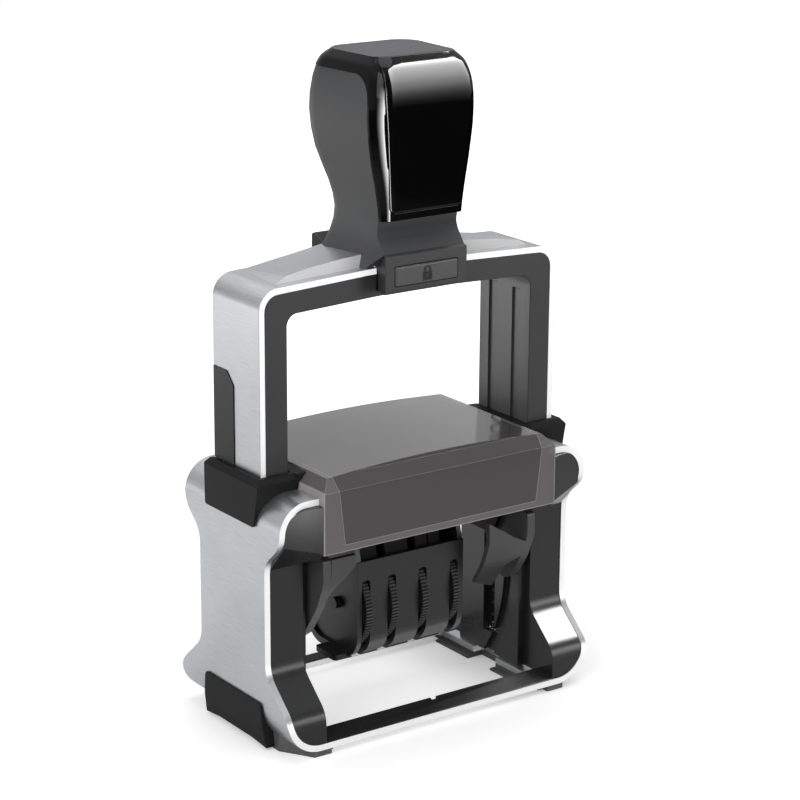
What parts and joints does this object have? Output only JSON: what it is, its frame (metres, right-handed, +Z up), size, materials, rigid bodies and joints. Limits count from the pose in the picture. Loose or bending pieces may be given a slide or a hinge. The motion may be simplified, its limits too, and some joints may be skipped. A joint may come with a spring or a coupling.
{
  "type": "self-inking date stamp",
  "caption": "Self-inking date stamp: brushed-steel arch and base, waisted black handle, smoke index window, and a date unit that flips over from the ink pad as the handle is pressed.",
  "frame": {"origin": "on the table, at the centre of the base", "axes": "+X to the right seen from the front, -Y is the front, +Z up"},
  "size_m": [0.0932, 0.0498, 0.1656],
  "materials": {
    "brushed_band": "brushed along the band, satin",
    "frame_black": "satin black moulding",
    "trim_black": "fine matt black moulding",
    "rail_grey": "translucent grey soft plastic",
    "smoke_clear": "clear smoke, polished",
    "card_dark": "plain dark card",
    "spring_wire": "bright spring wire",
    "grip_matt": "matt soft-touch black",
    "gloss_black": "polished black",
    "pin_steel": "turned steel",
    "die_rubber": "moulded rubber with a raised border",
    "band_rubber": "moulded rubber belt",
    "wheel_black": "ribbed black moulding",
    "unit_black": "satin black moulding",
    "tray_black": "satin black moulding",
    "pad_felt": "inked felt"
  },
  "bodies": {
    "base": {"base_shell": "brushed_band", "base_frame": "frame_black", "guide_plate_left": "frame_black", "guide_plate_right": "frame_black", "collar_left": "trim_black", "collar_right": "trim_black", "foot_cover_left": "trim_black", "foot_cover_right": "trim_black", "foot_rail_left": "rail_grey", "foot_rail_right": "rail_grey", "index_window": "smoke_clear", "index_card": "card_dark", "return_spring_left": "spring_wire", "return_spring_right": "spring_wire"},
    "handle": {"arch_shell": "brushed_band", "arch_frame": "frame_black", "arch_shoulder_left": "brushed_band", "arch_shoulder_right": "brushed_band", "handle_grip": "grip_matt", "handle_cap": "gloss_black", "handle_panel": "gloss_black", "lock_block_front": "trim_black", "lock_block_rear": "trim_black", "leg_rib_left": "trim_black", "leg_rib_right": "trim_black", "axle_pin_left": "pin_steel", "axle_pin_right": "pin_steel"},
    "stamp_unit": {"text_plate": "die_rubber", "die_plate": "unit_black", "unit_deck": "unit_black", "unit_cheek_left": "unit_black", "unit_cheek_right": "unit_black", "turn_lever_left": "unit_black", "turn_lever_right": "unit_black", "guide_pin_left": "pin_steel", "guide_pin_right": "pin_steel", "unit_housing": "unit_black", "wheel_axle": "pin_steel", "band_bridge": "unit_black", "date_band_1": "band_rubber", "date_band_2": "band_rubber", "date_band_3": "band_rubber", "date_band_4": "band_rubber"},
    "front_lock_button": {"lock_button_front": "gloss_black"},
    "rear_lock_button": {"lock_button_rear": "gloss_black"},
    "ink_tray": {"ink_cassette": "tray_black", "ink_pad": "pad_felt"},
    "wheel_1": {"thumbwheel_1": "wheel_black"},
    "wheel_2": {"thumbwheel_2": "wheel_black"},
    "wheel_3": {"thumbwheel_3": "wheel_black"},
    "wheel_4": {"thumbwheel_4": "wheel_black"}
  },
  "joints": [
    {"name": "handle_press", "type": "slide", "parent": "base", "child": "handle", "axis": [0, 0, -1], "range_m": [0, 0.034], "stiffness_N_per_m": 265, "springref_m": -0.0113, "deforming": ["return_spring_left", "return_spring_right"]},
    {"name": "unit_turn", "type": "hinge", "parent": "handle", "child": "stamp_unit", "pos_m": [0, 0, 0.045], "axis": [1, 0, 0], "range_deg": [0, 180]},
    {"name": "front_lock_push", "type": "slide", "parent": "handle", "child": "front_lock_button", "axis": [0, 1, 0], "range_m": [0, 0.0015], "stiffness_N_per_m": 300, "springref_m": -0.001},
    {"name": "rear_lock_push", "type": "slide", "parent": "handle", "child": "rear_lock_button", "axis": [0, -1, 0], "range_m": [0, 0.0015], "stiffness_N_per_m": 300, "springref_m": -0.001},
    {"name": "cassette_slide", "type": "slide", "parent": "base", "child": "ink_tray", "axis": [0, 1, 0], "range_m": [0, 0.042]},
    {"name": "wheel_1_turn", "type": "hinge", "parent": "stamp_unit", "child": "wheel_1", "pos_m": [0, -0.0005, 0.0276], "axis": [1, 0, 0], "continuous": true},
    {"name": "wheel_2_turn", "type": "hinge", "parent": "stamp_unit", "child": "wheel_2", "pos_m": [0, -0.0005, 0.0276], "axis": [1, 0, 0], "continuous": true},
    {"name": "wheel_3_turn", "type": "hinge", "parent": "stamp_unit", "child": "wheel_3", "pos_m": [0, -0.0005, 0.0276], "axis": [1, 0, 0], "continuous": true},
    {"name": "wheel_4_turn", "type": "hinge", "parent": "stamp_unit", "child": "wheel_4", "pos_m": [0, -0.0005, 0.0276], "axis": [1, 0, 0], "continuous": true}
  ],
  "couplings": [
    {"joint": "unit_turn", "follows": "handle_press", "rad_per_m": 92.4}
  ]
}
